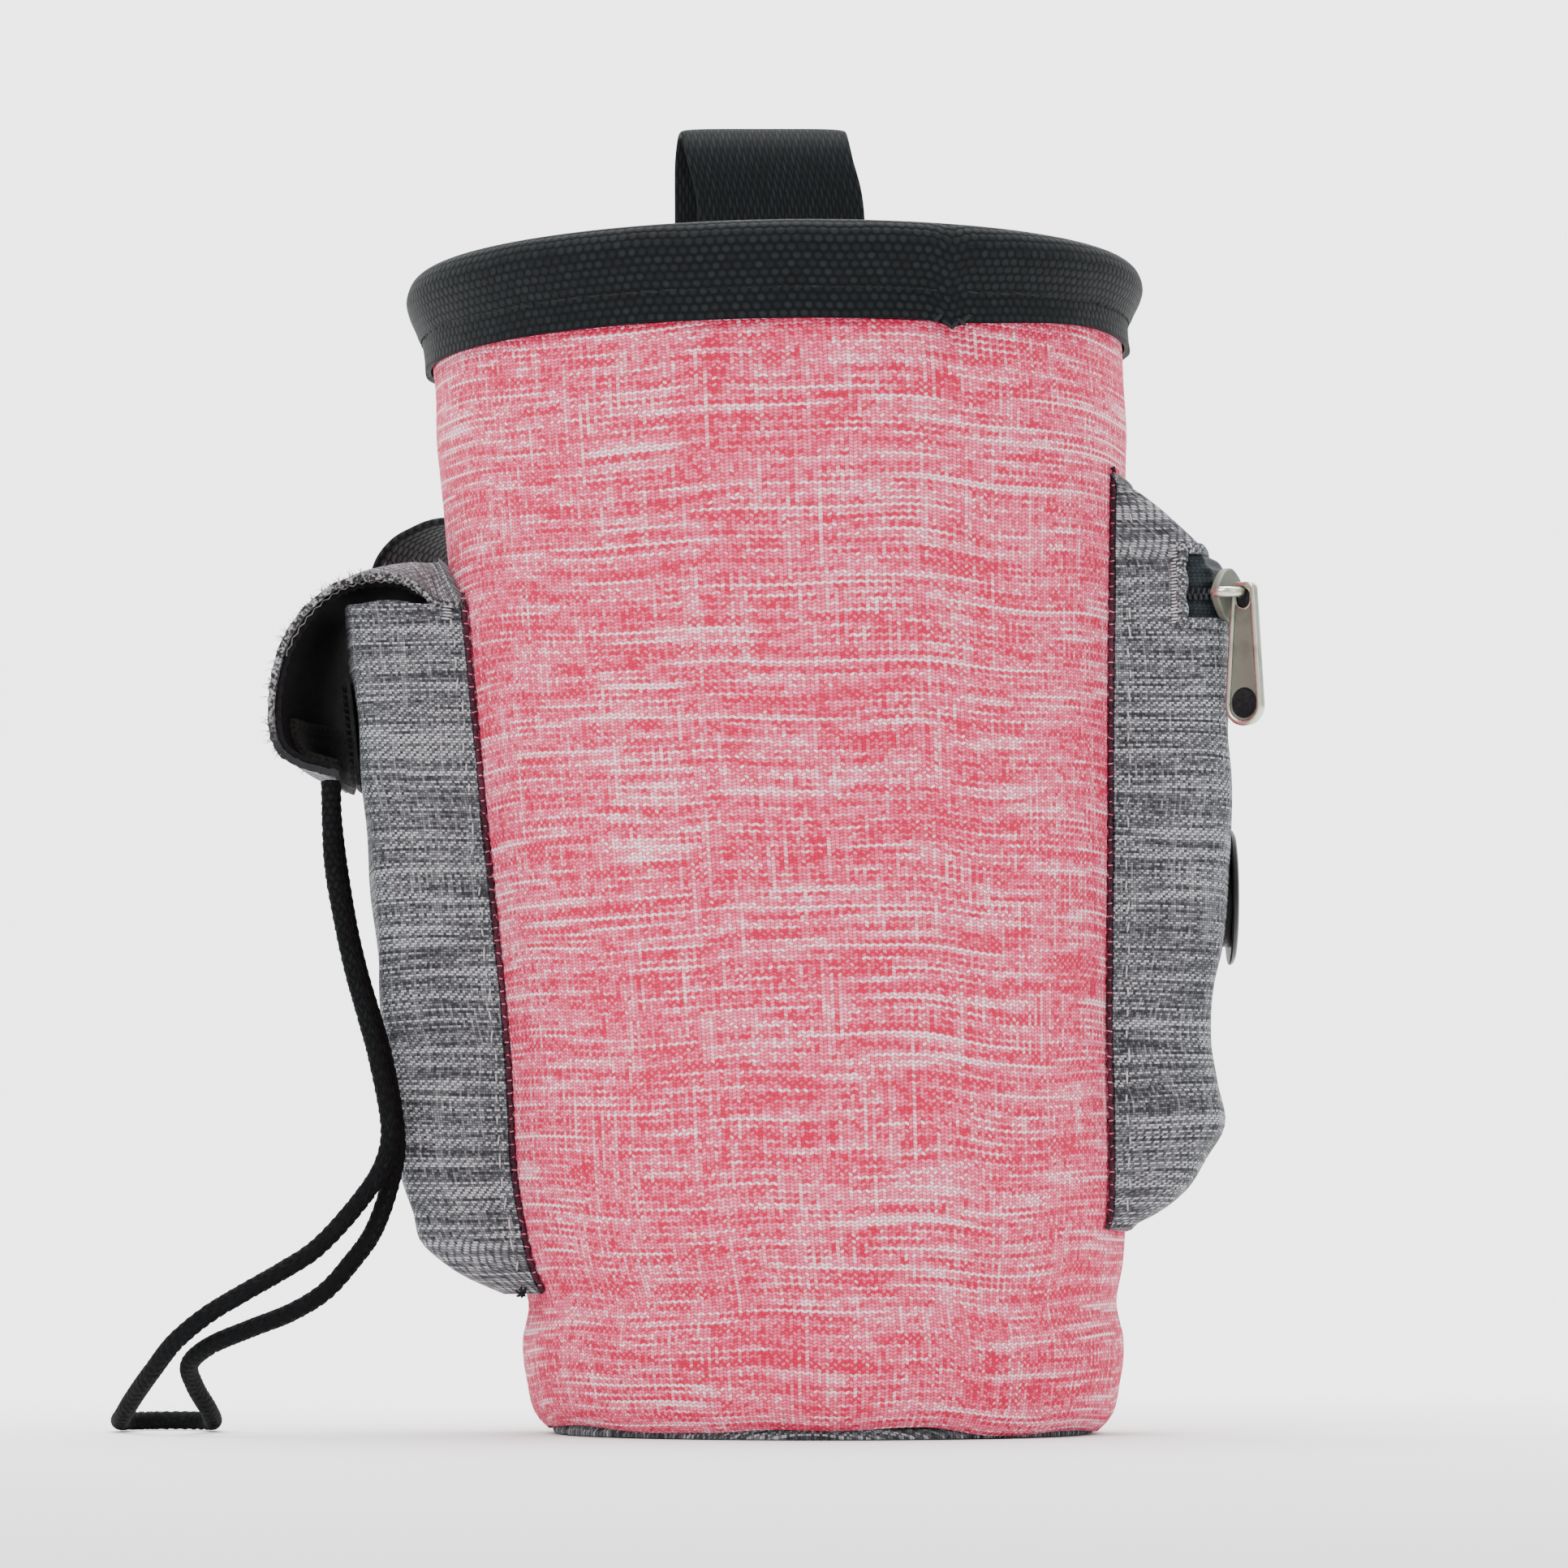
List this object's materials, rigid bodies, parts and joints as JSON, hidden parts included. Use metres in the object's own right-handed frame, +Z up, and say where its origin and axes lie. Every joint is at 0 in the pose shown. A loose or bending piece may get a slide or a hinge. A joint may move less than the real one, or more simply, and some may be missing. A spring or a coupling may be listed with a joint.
{
  "type": "dog treat pouch",
  "caption": "Tapered melange cloth treat pouch with a webbing rim, rear belt loop, left flap pocket with a pull cord and right zip pocket with a bag outlet.",
  "frame": {"origin": "centre of the base panel's underside", "axes": "+Z up through the mouth, -Y to the front, +X towards the zip pocket"},
  "size_m": [0.1936, 0.1383, 0.2336],
  "materials": {
    "pink_cloth": "melange weave",
    "gray_cloth": "melange weave",
    "black_webbing": "woven webbing",
    "black_cloth": "matt",
    "black_cord": "braided",
    "nickel": "satin nickel",
    "black_enamel": "semi-gloss"
  },
  "bodies": {
    "pouch": {"body_shell": "pink_cloth", "base_panel": "gray_cloth", "rim_band": "black_webbing", "belt_loop": "black_webbing", "side_loop": "black_webbing", "flap_pocket": "gray_cloth", "pocket_flap": "gray_cloth", "flap_lining": "black_cloth", "flap_patch": "black_cloth", "pocket_patch": "black_cloth", "pull_cord": "black_cord", "zip_pocket": "gray_cloth", "zipper_tape": "black_webbing", "zipper_coil": "black_webbing", "bag_grommet": "black_enamel", "zip_slider": "nickel"},
    "pull": {"zip_pull": "nickel"}
  },
  "joints": [
    {"name": "pull_swing", "type": "hinge", "parent": "pouch", "child": "pull", "pos_m": [0.06985, -0.02079, 0.1394], "axis": [-0.5736, -0.8192, 0], "range_deg": [0, 140]}
  ]
}
